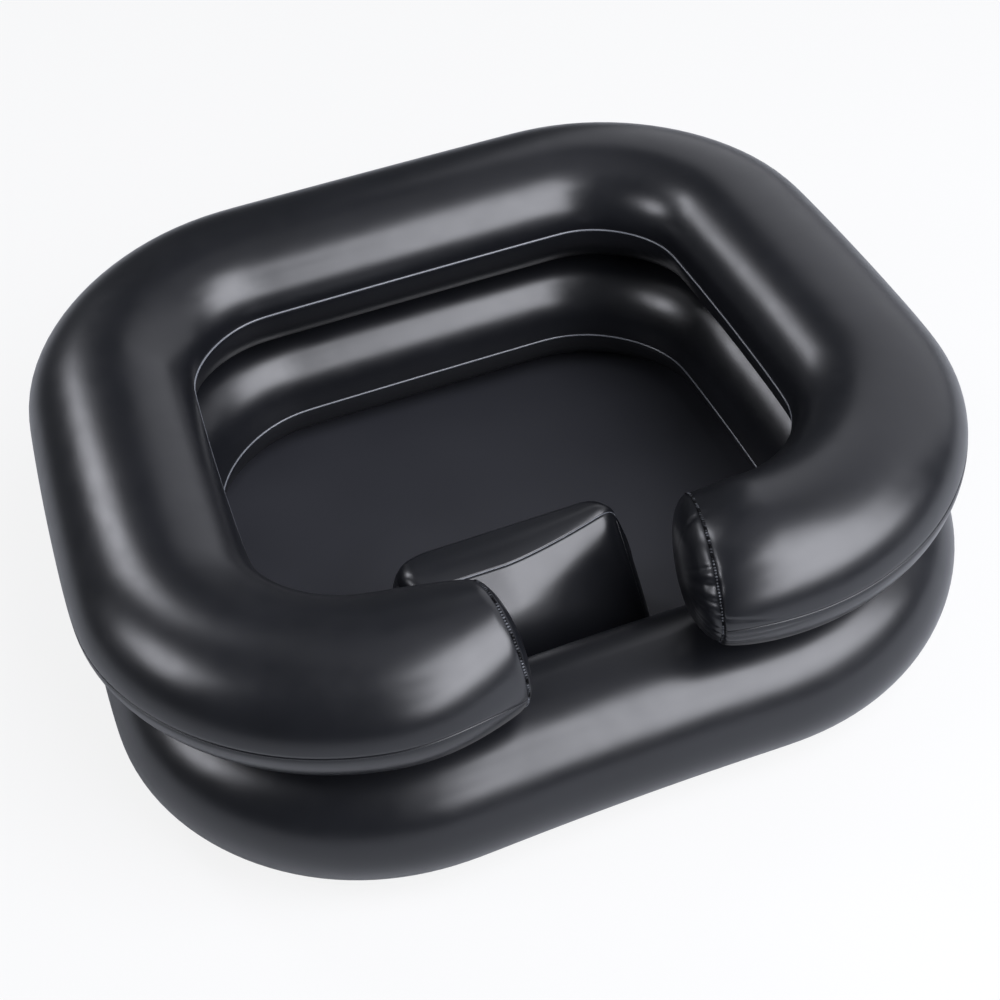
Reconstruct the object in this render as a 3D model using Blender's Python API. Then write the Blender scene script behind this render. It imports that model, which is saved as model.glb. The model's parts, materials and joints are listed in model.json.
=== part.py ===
"""Portable inflatable shampoo basin: two stacked air rings, a floor sheet and an inflated headrest.

Metres, +Z up. X runs along the basin's length, the neck gap opens at the front (-Y).
The origin is at the middle of the footprint, on the surface that the basin stands on.
"""

import math

import bmesh
import bpy
from mathutils import Matrix, Vector

# Fits and sheet
FIT_GAP = 0.0003
SHEET_WALL = 0.0006
FLOOR_WALL = 0.0010

# Plan of the upper ring's centre line, its corners as shares of the half length
UPPER_HALF_LENGTH = 0.2501
UPPER_FRONT = 0.2360
UPPER_BACK = 0.2277
UPPER_FRONT_CORNER_SHARE = 0.5582
UPPER_BACK_CORNER_SHARE = 0.4958

# How far the lower ring's centre line stands out from the upper ring's, and its corners
LOWER_OUT_AT_SIDES = 0.0011
LOWER_OUT_AT_FRONT = 0.0070
LOWER_OUT_AT_BACK = 0.0060
LOWER_FRONT_CORNER_SHARE = 0.5378
LOWER_BACK_CORNER_SHARE = 0.5701

# How far air pressure bows the sides, measured about the line across the widest place
WIDEST_PLACE = -0.0522
SIDE_BOW = 0.0139
FRONT_BOW = 0.0099
BACK_BOW = 0.0018

# Sections of the two tubes
UPPER_TUBE_HALF_WIDTH = 0.0619
UPPER_TUBE_RISE = 0.0486
LOWER_TUBE_HALF_WIDTH = 0.0594
LOWER_TUBE_DROP = 0.0504
RINGS_MEET_HEIGHT = 0.1053
UPPER_CENTRE_HEIGHT = 0.1603
RING_WELD_HALF_BAND = 0.006
FOOT_HALF_BAND = 0.012

# Where the welds run round each tube, in degrees from the tube's outer side, up and over the top
UPPER_OUTER_WELD = 4.0
UPPER_INNER_WELD = 181.3
LOWER_OUTER_WELD = -52.0
LOWER_INNER_WELD = 187.7

# Neck gap between the upper ring's two ends
GAP_CENTRE = 0.0041
GAP_HALF_WIDTH = 0.0746
END_BULGE = 0.019

# What the tube loses of its width, rise and drop at each end panel, and how far back
LEFT_END_LEAN_SHARE = 0.11
LEFT_END_REACH = 0.078
LEFT_END_WIDTH_SHARE = 0.31
LEFT_END_RISE_SHARE = 0.08
LEFT_END_DROP_SHARE = 0.03
RIGHT_END_LEAN_SHARE = 0.218
RIGHT_END_REACH = 0.042
RIGHT_END_WIDTH_SHARE = 0.027
RIGHT_END_RISE_SHARE = 0.36
RIGHT_END_DROP_SHARE = 0.165
RIGHT_END_TURN_IN = 0.0093
RIGHT_END_TURN_REACH = 0.120

# Headrest, a wedge with its ridge along X, its depths measured back from its front foot
REST_CENTRE = -0.0206
REST_HALF_LENGTH = 0.0854
REST_FOOT_FROM_RING = 0.0669
REST_SEAM_DEPTH = 0.0704
REST_SHOULDER_DEPTH = 0.1060
REST_DEPTH = 0.1180
REST_HEIGHT = 0.1056
REST_FRONT_CROWN = 0.005
REST_TOP_CROWN = 0.006
REST_BACK_CROWN = 0.012
REST_END_BULGE = 0.004
REST_PINCH_REACH = 0.018
REST_PINCH_SHARE = 0.10
REST_WELD_GAP = 0.0005

# Inflation valves
VALVE_BORE_RADIUS = 0.0036
VALVE_TUBE_WALL = 0.0014
VALVE_DEPTH = 0.014
VALVE_LIP = 0.0012
VALVE_FLANGE_RADIUS = 0.0092
VALVE_FLANGE_WALL = 0.0008
VALVE_FLANGE_SEAT = 0.0034
STRAP_WIDTH = 0.0020
STRAP_WALL = 0.0005
STRAP_TONGUE = 0.0055
STRAP_TONGUE_WIDTH = 0.0036
PLUG_HEAD_RADIUS = 0.0078
PLUG_HEAD_WALL = 0.0016
PLUG_SHANK = 0.0075
PLUG_TAPER = 0.0004
FLAP_WALL = 0.0005
FLAP_OVERLAP = 0.0010
UPPER_VALVE_BEARING = 78.75
UPPER_VALVE_ANGLE = -18.0
LOWER_VALVE_BEARING = 45.0
LOWER_VALVE_ANGLE = 0.0
REST_VALVE_OFFSET = 0.0306

# Drain, beside the headrest's left end
DRAIN_FROM_REST = 0.0340
DRAIN_DEPTH = 0.0580
DRAIN_BORE_RADIUS = 0.0090
DRAIN_TUBE_WALL = 0.0016
DRAIN_RIM_HEIGHT = 0.0050
DRAIN_FLANGE_RADIUS = 0.0180
DRAIN_FLANGE_WALL = 0.0010
DRAIN_PLUG_HEAD_RADIUS = 0.0130
DRAIN_PLUG_HEAD_WALL = 0.0020
DRAIN_PLUG_SHANK = 0.0045
DRAIN_PULL_RADIUS = 0.0050
DRAIN_PULL_HEIGHT = 0.0060

# Counts
CORNER_STEPS = 8
SIDE_STEPS = 2
STUB_STEPS = 3
ARC_STEP_ANGLE = 18.0
REST_STEPS = 5
TURN_STEPS = 20
DOME_SHARES = (1.0, 0.82, 0.56, 0.28)

# Vinyl colours, linear
BLACK_VINYL = (0.0130, 0.0142, 0.0168)
FLOOR_VINYL = (0.0160, 0.0172, 0.0198)
VALVE_VINYL = (0.0200, 0.0212, 0.0235)


def clear_scene():
    for old in list(bpy.data.objects):
        bpy.data.objects.remove(old, do_unlink=True)


def vinyl(name, colour, roughness):
    material = bpy.data.materials.new(name)
    material.use_nodes = True
    shader = material.node_tree.nodes["Principled BSDF"]
    shader.inputs["Base Color"].default_value = (*colour, 1.0)
    shader.inputs["Roughness"].default_value = roughness
    shader.inputs["Metallic"].default_value = 0.0
    return material


def finish_object(name, form, colour, roughness):
    """Turn a bmesh into a named, smooth-shaded object with its own material."""
    mesh = bpy.data.meshes.new(name)
    form.to_mesh(mesh)
    form.free()
    mesh.shade_smooth()
    mesh.set_sharp_from_angle(angle=math.radians(40.0))
    made = bpy.data.objects.new(name, mesh)
    made.data.materials.append(vinyl(name + "_vinyl", colour, roughness))
    bpy.context.scene.collection.objects.link(made)
    return made


def thicken(made, wall, side):
    """Give a sheet its wall: side -1 grows it inwards from its outer face, +1 outwards."""
    solid = made.modifiers.new("wall", "SOLIDIFY")
    solid.thickness = wall
    solid.offset = side
    solid.use_even_offset = True
    solid.use_quality_normals = True


def even_steps(start, end, steps):
    return [start + (end - start) * step / steps for step in range(steps + 1)]


# Centre lines of the rings

def bowed(point, half_length, front, back):
    """Move a point of the plain rounded outline to where air pressure bows it."""
    along = max(-1.0, min(1.0, point.x / half_length))
    from_widest = point.y - WIDEST_PLACE
    reach = (back if from_widest > 0 else front)
    across = max(-1.0, min(1.0, from_widest / reach))
    end_bow = BACK_BOW if from_widest > 0 else FRONT_BOW
    moved_x = point.x + SIDE_BOW * along ** 3 * (1 - across ** 2)
    moved_y = point.y + end_bow * abs(across) ** 3 * (1 - along ** 2)
    return Vector((moved_x, moved_y, 0))


def corner(centre_x, centre_y, radius, start):
    points = []
    for turn in even_steps(start, start + 90.0, CORNER_STEPS):
        angle = math.radians(turn)
        points.append(Vector((centre_x + radius * math.cos(angle), centre_y + radius * math.sin(angle), 0)))
    return points


def straight(start, end, steps):
    """The points between two points, without either of them."""
    return [start.lerp(end, step / steps) for step in range(1, steps)]


def centre_line(half_length, front, back, front_corner, back_corner, start_x, end_x):
    """Points anticlockwise from start_x on the front side round to end_x on the front side."""
    front_right = corner(half_length - front_corner, front_corner - front, front_corner, -90.0)
    back_right = corner(half_length - back_corner, back - back_corner, back_corner, 0.0)
    back_left = corner(back_corner - half_length, back - back_corner, back_corner, 90.0)
    front_left = corner(front_corner - half_length, front_corner - front, front_corner, 180.0)
    start = Vector((start_x, -front, 0))
    end = Vector((end_x, -front, 0))
    points = [start]
    points += straight(start, front_right[0], STUB_STEPS)
    points += front_right + straight(front_right[-1], back_right[0], SIDE_STEPS)
    points += back_right + straight(back_right[-1], back_left[0], SIDE_STEPS + 1)
    points += back_left + straight(back_left[-1], front_left[0], SIDE_STEPS)
    points += front_left + straight(front_left[-1], end, STUB_STEPS)
    points.append(end)
    front_reach = front + WIDEST_PLACE
    back_reach = back - WIDEST_PLACE
    return [bowed(point, half_length, front_reach, back_reach) for point in points]


def outward_directions(points, closed):
    """The level direction that points away from the basin at each point of a centre line."""
    directions = []
    count = len(points)
    for index in range(count):
        before = points[index - 1] if closed or index > 0 else points[index]
        after = points[(index + 1) % count] if closed or index < count - 1 else points[index]
        along = (after - before).normalized()
        directions.append(Vector((along.y, -along.x, 0)))
    return directions


def distances_along(points):
    """How far each point of a line lies from its first point, along the line."""
    travelled = [0.0]
    for before, after in zip(points, points[1:]):
        travelled.append(travelled[-1] + (after - before).length)
    return travelled


def end_pull(distance, reach):
    """How strongly an end panel draws the tube in: 1 at the panel, 0 past its reach."""
    return max(0.0, 1.0 - distance / reach) ** 2


def upper_centre_line():
    front_corner = UPPER_HALF_LENGTH * UPPER_FRONT_CORNER_SHARE
    back_corner = UPPER_HALF_LENGTH * UPPER_BACK_CORNER_SHARE
    points = centre_line(UPPER_HALF_LENGTH, UPPER_FRONT, UPPER_BACK, front_corner, back_corner,
                         GAP_CENTRE + GAP_HALF_WIDTH, GAP_CENTRE - GAP_HALF_WIDTH)
    for point, distance in zip(points, distances_along(points)):
        point.y += RIGHT_END_TURN_IN * end_pull(distance, RIGHT_END_TURN_REACH)
    directions = outward_directions(points, False)
    right_end = Vector((-RIGHT_END_LEAN_SHARE, -1, 0)).normalized()
    left_end = Vector((LEFT_END_LEAN_SHARE, -1, 0)).normalized()
    for step in range(STUB_STEPS):
        share = step / STUB_STEPS
        directions[step] = right_end.lerp(directions[step], share).normalized()
        directions[-1 - step] = left_end.lerp(directions[-1 - step], share).normalized()
    return points, directions


def lower_front():
    return UPPER_FRONT + LOWER_OUT_AT_FRONT


def lower_centre_line():
    half_length = UPPER_HALF_LENGTH + LOWER_OUT_AT_SIDES
    front_corner = half_length * LOWER_FRONT_CORNER_SHARE
    back_corner = half_length * LOWER_BACK_CORNER_SHARE
    back = UPPER_BACK + LOWER_OUT_AT_BACK
    points = centre_line(half_length, lower_front(), back, front_corner, back_corner, 0.0, 0.0)
    points.pop()
    return points, outward_directions(points, True)


# Sections of the tubes

def tube_section(angle, side, half_width, rise, top_band, drop, foot_band):
    """One point of a tube's section: its distance outwards from the centre line and its height."""
    turn = math.radians(angle)
    band = top_band if math.sin(turn) >= 0 else foot_band
    tall = rise if math.sin(turn) >= 0 else drop
    return (side * band + (half_width - band) * math.cos(turn), tall * math.sin(turn))


def arc_angles(start, end):
    return even_steps(start, end, max(1, round(abs(end - start) / ARC_STEP_ANGLE)))


def tube_arc(start, end, sizes):
    """Section points from one angle to another, passing the top or the bottom in between."""
    middle = 90.0 if end > 90.0 else -90.0
    first_side = 1 if middle > 0 else -1
    band = sizes[2] if middle > 0 else sizes[4]
    points = [tube_section(angle, first_side, *sizes) for angle in arc_angles(start, middle)]
    after = [tube_section(angle, -first_side, *sizes) for angle in arc_angles(middle, end)]
    return points + (after if band > 0 else after[1:])


def upper_sizes():
    drop = UPPER_CENTRE_HEIGHT - RINGS_MEET_HEIGHT - FIT_GAP / 2
    return (UPPER_TUBE_HALF_WIDTH, UPPER_TUBE_RISE, 0.0, drop, RING_WELD_HALF_BAND)


def lower_centre_height():
    return FLOOR_WALL + FIT_GAP + LOWER_TUBE_DROP


def lower_sizes():
    rise = RINGS_MEET_HEIGHT - FIT_GAP / 2 - lower_centre_height()
    return (LOWER_TUBE_HALF_WIDTH, rise, RING_WELD_HALF_BAND, LOWER_TUBE_DROP, FOOT_HALF_BAND)


def weld_gap_angle():
    """Half of the gap between two sheets that meet at a weld, as an angle round the tube."""
    flattest = 1.0 - max(LEFT_END_RISE_SHARE, RIGHT_END_RISE_SHARE)
    return math.degrees(FIT_GAP / 2 / (flattest * min(UPPER_TUBE_RISE, LOWER_TUBE_DROP)))


def skin(rows, closed):
    """Faces between neighbouring rows of points, facing the side that rows and columns turn out to."""
    form = bmesh.new()
    grid = [[form.verts.new(point) for point in row] for row in rows]
    if closed:
        grid.append(grid[0])
    for row, following in zip(grid, grid[1:]):
        for column in range(len(row) - 1):
            form.faces.new((row[column], following[column], following[column + 1], row[column + 1]))
    return form


def section_scales(points, closed):
    """The width, rise and drop of the section at each station, as shares of the free tube's."""
    if closed:
        return [(1.0, 1.0, 1.0)] * len(points)
    travelled = distances_along(points)
    scales = []
    for distance in travelled:
        right = end_pull(distance, RIGHT_END_REACH)
        left = end_pull(travelled[-1] - distance, LEFT_END_REACH)
        width = 1.0 - right * RIGHT_END_WIDTH_SHARE - left * LEFT_END_WIDTH_SHARE
        rise = 1.0 - right * RIGHT_END_RISE_SHARE - left * LEFT_END_RISE_SHARE
        drop = 1.0 - right * RIGHT_END_DROP_SHARE - left * LEFT_END_DROP_SHARE
        scales.append((width, rise, drop))
    return scales


def ring_row(point, outward, height, arc, scale):
    """A section of a ring, its width, rise and drop scaled about the centre line."""
    width, rise, drop = scale
    row = []
    for reach, level in arc:
        raised = level * (rise if level > 0 else drop)
        row.append(point + outward * reach * width + Vector((0, 0, height + raised)))
    return row


def ring_sheet(name, centre_points, directions, height, arc, closed):
    scales = section_scales(centre_points, closed)
    rows = []
    for point, outward, scale in zip(centre_points, directions, scales):
        rows.append(ring_row(point, outward, height, arc, scale))
    made = finish_object(name, skin(rows, closed), BLACK_VINYL, 0.36)
    thicken(made, SHEET_WALL, -1.0)
    return made


def upper_ring_top_sheet():
    points, directions = upper_centre_line()
    arc = tube_arc(UPPER_OUTER_WELD + weld_gap_angle(), UPPER_INNER_WELD - weld_gap_angle(), upper_sizes())
    return ring_sheet("upper_ring_top_sheet", points, directions, UPPER_CENTRE_HEIGHT, arc, False)


def upper_ring_bottom_sheet():
    points, directions = upper_centre_line()
    start = UPPER_INNER_WELD - 360.0 + weld_gap_angle()
    arc = tube_arc(start, UPPER_OUTER_WELD - weld_gap_angle(), upper_sizes())
    return ring_sheet("upper_ring_bottom_sheet", points, directions, UPPER_CENTRE_HEIGHT, arc, False)


def lower_ring_top_sheet():
    points, directions = lower_centre_line()
    arc = tube_arc(LOWER_OUTER_WELD + weld_gap_angle(), LOWER_INNER_WELD - weld_gap_angle(), lower_sizes())
    return ring_sheet("lower_ring_top_sheet", points, directions, lower_centre_height(), arc, True)


def lower_ring_bottom_sheet():
    points, directions = lower_centre_line()
    start = LOWER_INNER_WELD - 360.0 + weld_gap_angle()
    arc = tube_arc(start, LOWER_OUTER_WELD - weld_gap_angle(), lower_sizes())
    return ring_sheet("lower_ring_bottom_sheet", points, directions, lower_centre_height(), arc, True)


def closing_panel(name, outline, facing, bulge):
    """A domed panel over a closed outline, its wall growing the way it faces."""
    centre = sum(outline, Vector((0, 0, 0))) / len(outline)
    rows = []
    for point in outline:
        spoke = point - centre
        rows.append([centre + spoke * share + facing * bulge * (1 - share ** 2) for share in DOME_SHARES])
    form = skin(rows, True)
    form.verts.ensure_lookup_table()
    columns = len(DOME_SHARES)
    crown = form.faces.new([form.verts[index * columns + columns - 1] for index in range(len(outline))])
    form.normal_update()
    if crown.normal.dot(facing) < 0:
        bmesh.ops.reverse_faces(form, faces=[crown])
    bmesh.ops.recalc_face_normals(form, faces=form.faces[:])
    if crown.normal.dot(facing) < 0:
        bmesh.ops.reverse_faces(form, faces=form.faces[:])
    made = finish_object(name, form, BLACK_VINYL, 0.36)
    thicken(made, SHEET_WALL, 1.0)
    return made


def tube_end_panel(name, index):
    """The panel that closes the upper ring at one side of the neck gap."""
    points, directions = upper_centre_line()
    outward = directions[index]
    turn = 1 if index == 0 else -1
    facing = Vector((outward.y, -outward.x, 0)) * turn
    sizes = upper_sizes()
    bottom = tube_arc(-180.0, 0.0, sizes)
    top = tube_arc(0.0, 180.0, sizes)
    loop = bottom[:-1] + top[:-1]
    start = points[index] + facing * FIT_GAP
    outline = ring_row(start, outward, UPPER_CENTRE_HEIGHT, loop, section_scales(points, False)[index])
    return closing_panel(name, outline, facing, END_BULGE)


def flat_sheet(name, outline, wall, colour):
    """A flat sheet that stands on its outline's plane and has a wall of the given height."""
    form = bmesh.new()
    face = form.faces.new([form.verts.new(point) for point in outline])
    form.normal_update()
    if face.normal.z > 0:
        face.normal_flip()
    raised = bmesh.ops.extrude_face_region(form, geom=[face])
    lifted = [item for item in raised["geom"] if isinstance(item, bmesh.types.BMVert)]
    bmesh.ops.translate(form, verts=lifted, vec=(0, 0, wall))
    bmesh.ops.recalc_face_normals(form, faces=form.faces[:])
    return finish_object(name, form, colour, 0.45)


def floor_sheet():
    points, directions = lower_centre_line()
    outline = [point + outward * FOOT_HALF_BAND for point, outward in zip(points, directions)]
    made = flat_sheet("floor_sheet", outline, FLOOR_WALL, FLOOR_VINYL)
    hole_radius = DRAIN_BORE_RADIUS + DRAIN_TUBE_WALL + FIT_GAP
    drill(made, drain_place(), Vector((0, 0, 1)), hole_radius, 4 * FLOOR_WALL)
    return made


# Headrest

def crowned(start, end, crown, steps):
    """Points (y, z) from start to end that swell to the left of the way they run."""
    run_y = end[0] - start[0]
    run_z = end[1] - start[1]
    length = math.hypot(run_y, run_z)
    points = []
    for share in even_steps(0.0, 1.0, steps):
        swell = crown * math.sin(math.pi * share)
        points.append((start[0] + run_y * share - run_z / length * swell,
                       start[1] + run_z * share + run_y / length * swell))
    return points


def shortened(start, end, cut):
    """The point that lies a little way from start towards end."""
    length = math.hypot(end[0] - start[0], end[1] - start[1])
    return (start[0] + (end[0] - start[0]) * cut / length, start[1] + (end[1] - start[1]) * cut / length)


def rest_front_foot():
    """How far forward the headrest's front foot stands, from the lower ring's centre line."""
    return REST_FOOT_FROM_RING - lower_front() - FRONT_BOW


def rest_foot_height():
    return FLOOR_WALL + SHEET_WALL + 2 * FIT_GAP


def rest_front_section():
    foot = (rest_front_foot(), rest_foot_height())
    seam = (rest_front_foot() + REST_SEAM_DEPTH, REST_HEIGHT)
    return crowned(foot, shortened(seam, foot, REST_WELD_GAP), REST_FRONT_CROWN, REST_STEPS)


def rest_back_section():
    seam = (rest_front_foot() + REST_SEAM_DEPTH, REST_HEIGHT)
    shoulder = (rest_front_foot() + REST_SHOULDER_DEPTH, REST_HEIGHT)
    foot = (rest_front_foot() + REST_DEPTH, rest_foot_height())
    top = crowned(shortened(seam, shoulder, REST_WELD_GAP), shoulder, REST_TOP_CROWN, REST_STEPS - 2)
    back = crowned(shoulder, foot, REST_BACK_CROWN, REST_STEPS)
    return top + back[1:]


def rest_places():
    """Where the headrest's sections stand along X, closer together near its two ends."""
    near = REST_PINCH_REACH / 3
    left_end = REST_CENTRE - REST_HALF_LENGTH
    right_end = REST_CENTRE + REST_HALF_LENGTH
    middle = even_steps(left_end + REST_PINCH_REACH, right_end - REST_PINCH_REACH, 4)
    return [left_end, left_end + near] + middle + [right_end - near, right_end]


def rest_row(section, place):
    """One section of the headrest, drawn in towards its foot near the ends."""
    from_end = REST_HALF_LENGTH - abs(place - REST_CENTRE)
    scale = 1.0
    if from_end < REST_PINCH_REACH:
        scale = 1.0 - REST_PINCH_SHARE * (1 - from_end / REST_PINCH_REACH) ** 2
    middle = rest_front_foot() + REST_DEPTH / 2
    base = rest_foot_height()
    return [Vector((place, middle + (y - middle) * scale, base + (z - base) * scale)) for y, z in section]


def rest_panel(name, section):
    rows = [rest_row(section, place) for place in rest_places()]
    made = finish_object(name, skin(rows, False), BLACK_VINYL, 0.36)
    thicken(made, SHEET_WALL, -1.0)
    return made


def rest_gusset(name, side):
    facing = Vector((side, 0, 0))
    place = REST_CENTRE + side * REST_HALF_LENGTH
    section = rest_front_section() + rest_back_section()
    outline = [point + facing * FIT_GAP for point in rest_row(section, place)]
    return closing_panel(name, outline, facing, REST_END_BULGE)


def rest_base_panel():
    front_foot = (rest_front_foot(), rest_foot_height())
    back_foot = (rest_front_foot() + REST_DEPTH, rest_foot_height())
    front = [rest_row([front_foot], place)[0] for place in rest_places()]
    back = [rest_row([back_foot], place)[0] for place in rest_places()]
    outline = front + back[::-1]
    for point in outline:
        point.z = FLOOR_WALL + FIT_GAP
    return flat_sheet("headrest_base_panel", outline, SHEET_WALL, BLACK_VINYL)


# Turned fittings

def turned(name, profile, colour):
    """A piece turned about its own Z axis from a closed profile of radius and height pairs."""
    form = bmesh.new()
    points = [form.verts.new((radius, 0, height)) for radius, height in profile]
    following = points[1:] + points[:1]
    edges = [form.edges.new(pair) for pair in zip(points, following)]
    bmesh.ops.spin(form, geom=points + edges, cent=(0, 0, 0), axis=(0, 0, 1), angle=math.tau,
                   steps=TURN_STEPS, use_merge=True)
    bmesh.ops.remove_doubles(form, verts=form.verts[:], dist=FIT_GAP / 100)
    on_axis = [edge for edge in form.edges if not edge.link_faces]
    bmesh.ops.delete(form, geom=on_axis, context="EDGES")
    bmesh.ops.recalc_face_normals(form, faces=form.faces[:])
    return finish_object(name, form, colour, 0.42)


def upward(axis):
    """The direction square to an axis that points most nearly up."""
    return axis.cross(Vector((0, 0, 1)).cross(axis)).normalized()


def stand(made, place, axis):
    """Put a turned piece at a place with its Z axis along a direction and its Y axis upward."""
    made.rotation_mode = "QUATERNION"
    level = upward(axis).cross(axis)
    made.rotation_quaternion = Matrix((level, upward(axis), axis)).transposed().to_quaternion()
    made.location = place


def drill(made, place, axis, radius, reach):
    """Cut a round hole through a sheet with a hidden cutter of the given length."""
    form = bmesh.new()
    bmesh.ops.create_cone(form, cap_ends=True, segments=TURN_STEPS, radius1=radius, radius2=radius,
                          depth=reach)
    mesh = bpy.data.meshes.new(made.name + "_cutter")
    form.to_mesh(mesh)
    form.free()
    cutter = bpy.data.objects.new(made.name + "_cutter", mesh)
    cutter.rotation_mode = "QUATERNION"
    cutter.rotation_quaternion = Vector((0, 0, 1)).rotation_difference(axis)
    cutter.location = place
    cutter.hide_render = True
    cutter.display_type = "WIRE"
    bpy.context.scene.collection.objects.link(cutter)
    cut = made.modifiers.new("hole", "BOOLEAN")
    cut.operation = "DIFFERENCE"
    cut.solver = "EXACT"
    cut.object = cutter


# Inflation valves, each pressed in so that only its mouth and plug stand proud of the sheet

def valve_tube_radius():
    return VALVE_BORE_RADIUS + VALVE_TUBE_WALL


def valve_body(name):
    """Tube and weld flange in one moulding, the flange behind the sheet."""
    bore = VALVE_BORE_RADIUS
    tube = valve_tube_radius()
    seat = -VALVE_FLANGE_SEAT
    back = seat - VALVE_FLANGE_WALL
    profile = [(bore, -VALVE_DEPTH), (tube, -VALVE_DEPTH), (tube, back), (VALVE_FLANGE_RADIUS, back)]
    profile += [(VALVE_FLANGE_RADIUS, seat), (tube, seat), (tube, VALVE_LIP), (bore, VALVE_LIP)]
    return turned(name, profile, VALVE_VINYL)


def valve_flap(name):
    """Check flap behind the tube's inner end, turned about its middle and then hung from its top edge."""
    radius = valve_tube_radius() + FLAP_OVERLAP
    made = turned(name, [(0, -FLAP_WALL), (radius, -FLAP_WALL), (radius, 0), (0, 0)], VALVE_VINYL)
    made.data.transform(Matrix.Translation((0, -radius, 0)))
    return made


def valve_plug(name):
    shank = VALVE_BORE_RADIUS - FIT_GAP
    seat = VALVE_LIP + FIT_GAP
    head_top = seat + PLUG_HEAD_WALL
    profile = [(0, seat - PLUG_SHANK), (shank - PLUG_TAPER, seat - PLUG_SHANK), (shank, seat)]
    profile += [(PLUG_HEAD_RADIUS, seat), (PLUG_HEAD_RADIUS, head_top), (0, head_top)]
    return turned(name, profile, VALVE_VINYL)


def valve_strap(name):
    """Flat ring round the mouth, under the plug's head, with a tongue to lift the plug by."""
    inner = valve_tube_radius() + FIT_GAP
    outer = inner + STRAP_WIDTH
    made = turned(name, [(inner, 0), (outer, 0), (outer, STRAP_WALL), (inner, STRAP_WALL)], VALVE_VINYL)
    form = bmesh.new()
    bmesh.ops.create_cube(form, size=1.0)
    length = STRAP_WIDTH / 2 + STRAP_TONGUE
    bmesh.ops.scale(form, verts=form.verts[:], vec=(length, STRAP_TONGUE_WIDTH, STRAP_WALL))
    middle = outer - STRAP_WIDTH / 2 + length / 2
    bmesh.ops.translate(form, verts=form.verts[:], vec=(middle, 0, STRAP_WALL / 2))
    tongue = bpy.data.meshes.new(name + "_tongue")
    form.to_mesh(tongue)
    form.free()
    added = bpy.data.objects.new(name + "_tongue", tongue)
    added.hide_render = True
    added.display_type = "WIRE"
    bpy.context.scene.collection.objects.link(added)
    join = made.modifiers.new("tongue", "BOOLEAN")
    join.operation = "UNION"
    join.solver = "EXACT"
    join.object = added
    return made, added


def valve(prefix, sheet, place, axis):
    """A whole valve at a place on a sheet, with the hole for its tube."""
    drill(sheet, place, axis, valve_tube_radius() + FIT_GAP, VALVE_DEPTH)
    stand(valve_body(prefix + "_valve_body"), place, axis)
    stand(valve_plug(prefix + "_valve_plug"), place, axis)
    strap, tongue = valve_strap(prefix + "_valve_strap")
    stand(strap, place + axis * FIT_GAP, axis)
    stand(tongue, place + axis * FIT_GAP, axis)
    hinge = place - axis * (VALVE_DEPTH + FIT_GAP) + upward(axis) * (valve_tube_radius() + FLAP_OVERLAP)
    stand(valve_flap(prefix + "_valve_flap"), hinge, axis)


def ring_valve_place(centre_points, directions, bearing, angle, sizes, height):
    """A point on the tube where the ring faces nearest to a bearing, and the way its side faces."""
    aim = Vector((math.cos(math.radians(bearing)), math.sin(math.radians(bearing)), 0))
    nearest = max(range(len(directions)), key=lambda index: directions[index].dot(aim))
    outward = directions[nearest]
    reach, level = tube_section(angle, 1, *sizes)
    turn = math.radians(angle)
    tall = sizes[1] if angle >= 0 else sizes[3]
    facing = (outward * math.cos(turn) * tall + Vector((0, 0, math.sin(turn) * sizes[0]))).normalized()
    return centre_points[nearest] + outward * reach + Vector((0, 0, height + level)), facing


def rest_valve_place():
    """The rearmost point of the headrest's back, where its back panel stands upright."""
    section = rest_back_section()
    rearmost = max(section, key=lambda point: point[0])
    place = Vector((REST_CENTRE + REST_VALVE_OFFSET, rearmost[0], rearmost[1]))
    return place, Vector((0, 1, 0))


# Drain

def drain_place():
    """Where the drain's axis meets the surface that the basin stands on."""
    left_end = REST_CENTRE - REST_HALF_LENGTH
    return Vector((left_end - DRAIN_FROM_REST, rest_front_foot() + DRAIN_DEPTH, 0))


def drain_socket():
    bore = DRAIN_BORE_RADIUS
    tube = bore + DRAIN_TUBE_WALL
    foot = FLOOR_WALL + FIT_GAP
    flange = foot + DRAIN_FLANGE_WALL
    rim = foot + DRAIN_RIM_HEIGHT
    profile = [(bore, 0), (tube, 0), (tube, foot), (DRAIN_FLANGE_RADIUS, foot)]
    profile += [(DRAIN_FLANGE_RADIUS, flange), (tube, flange), (tube, rim), (bore, rim)]
    made = turned("drain_socket", profile, VALVE_VINYL)
    made.location = drain_place()


def drain_plug():
    """Plug with a knob to pull it by; its origin is at the middle of the socket's rim."""
    shank = DRAIN_BORE_RADIUS - FIT_GAP
    seat = FIT_GAP
    head_top = seat + DRAIN_PLUG_HEAD_WALL
    neck = DRAIN_PULL_RADIUS / 2
    knob = head_top + DRAIN_PULL_HEIGHT / 3
    top = head_top + DRAIN_PULL_HEIGHT
    profile = [(0, seat - DRAIN_PLUG_SHANK), (shank - PLUG_TAPER, seat - DRAIN_PLUG_SHANK), (shank, seat)]
    profile += [(DRAIN_PLUG_HEAD_RADIUS, seat), (DRAIN_PLUG_HEAD_RADIUS, head_top), (neck, head_top)]
    profile += [(neck, knob), (DRAIN_PULL_RADIUS, knob), (DRAIN_PULL_RADIUS, top), (0, top)]
    made = turned("drain_plug", profile, VALVE_VINYL)
    made.location = drain_place() + Vector((0, 0, FLOOR_WALL + FIT_GAP + DRAIN_RIM_HEIGHT))


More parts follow.
